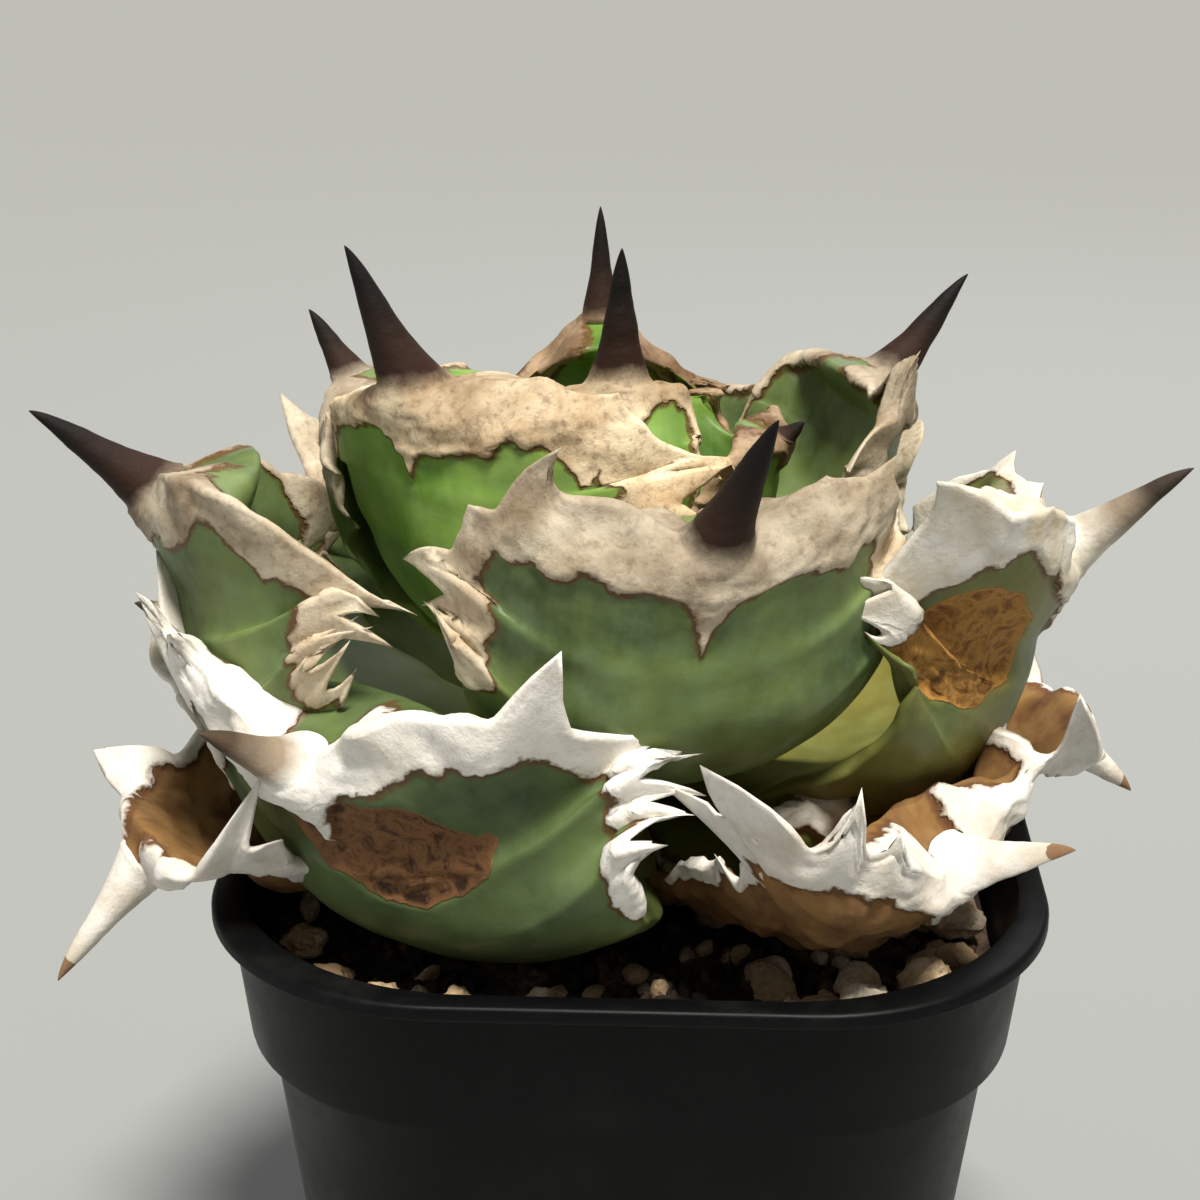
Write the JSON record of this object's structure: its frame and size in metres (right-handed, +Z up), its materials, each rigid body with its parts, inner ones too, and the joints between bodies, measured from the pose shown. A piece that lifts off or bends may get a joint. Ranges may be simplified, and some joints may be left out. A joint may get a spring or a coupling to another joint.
{
  "type": "potted agave",
  "caption": "Compact rosette succulent with broad incurved leaves, horny toothed margins and long terminal spines, growing in gritty substrate in a tapered square plastic nursery pot.",
  "frame": {"origin": "centre of the pot's flat underside", "axes": "+Z up along the pot; +X to the right and -Y to the front, square with the pot's sides"},
  "size_m": [0.122, 0.108, 0.1495],
  "materials": {
    "black_plastic": "satin moulded",
    "substrate": "damp fine grit",
    "stem": "fibrous",
    "leaf_green": "waxy leaf with a matt horny margin",
    "leaf_dry": "papery dried leaf with a chalky margin",
    "pumice": "porous"
  },
  "bodies": {
    "root": {"pot": "black_plastic", "substrate": "substrate", "stem": "stem", "leaf_bud": "leaf_green", "leaf_back_inner": "leaf_green", "leaf_right_inner": "leaf_green", "leaf_left_inner": "leaf_green", "leaf_right_upper": "leaf_green", "leaf_left_upper": "leaf_green", "leaf_front_upper": "leaf_green", "leaf_back_upper": "leaf_green", "leaf_left": "leaf_green", "leaf_right": "leaf_green", "leaf_back_left": "leaf_green", "leaf_front_lower": "leaf_green", "leaf_back_lower": "leaf_green", "leaf_front_right": "leaf_green", "leaf_back_right": "leaf_green", "leaf_left_lower": "leaf_green", "leaf_dry_front": "leaf_dry", "leaf_dry_left": "leaf_dry", "leaf_dry_right": "leaf_dry", "leaf_dry_back": "leaf_dry", "stone_01": "pumice", "stone_02": "pumice", "stone_03": "pumice", "stone_04": "pumice", "stone_05": "pumice", "stone_06": "pumice", "stone_07": "pumice", "stone_08": "pumice", "stone_09": "pumice", "stone_10": "pumice", "stone_11": "pumice", "stone_12": "pumice", "stone_13": "pumice", "stone_14": "pumice", "stone_15": "pumice", "stone_16": "pumice", "stone_17": "pumice", "stone_18": "pumice", "stone_19": "pumice", "stone_20": "pumice", "stone_21": "pumice", "stone_22": "pumice", "stone_23": "pumice", "stone_24": "pumice", "stone_25": "pumice", "stone_26": "pumice", "stone_27": "pumice", "stone_28": "pumice", "stone_29": "pumice", "stone_30": "pumice"}
  },
  "joints": []
}
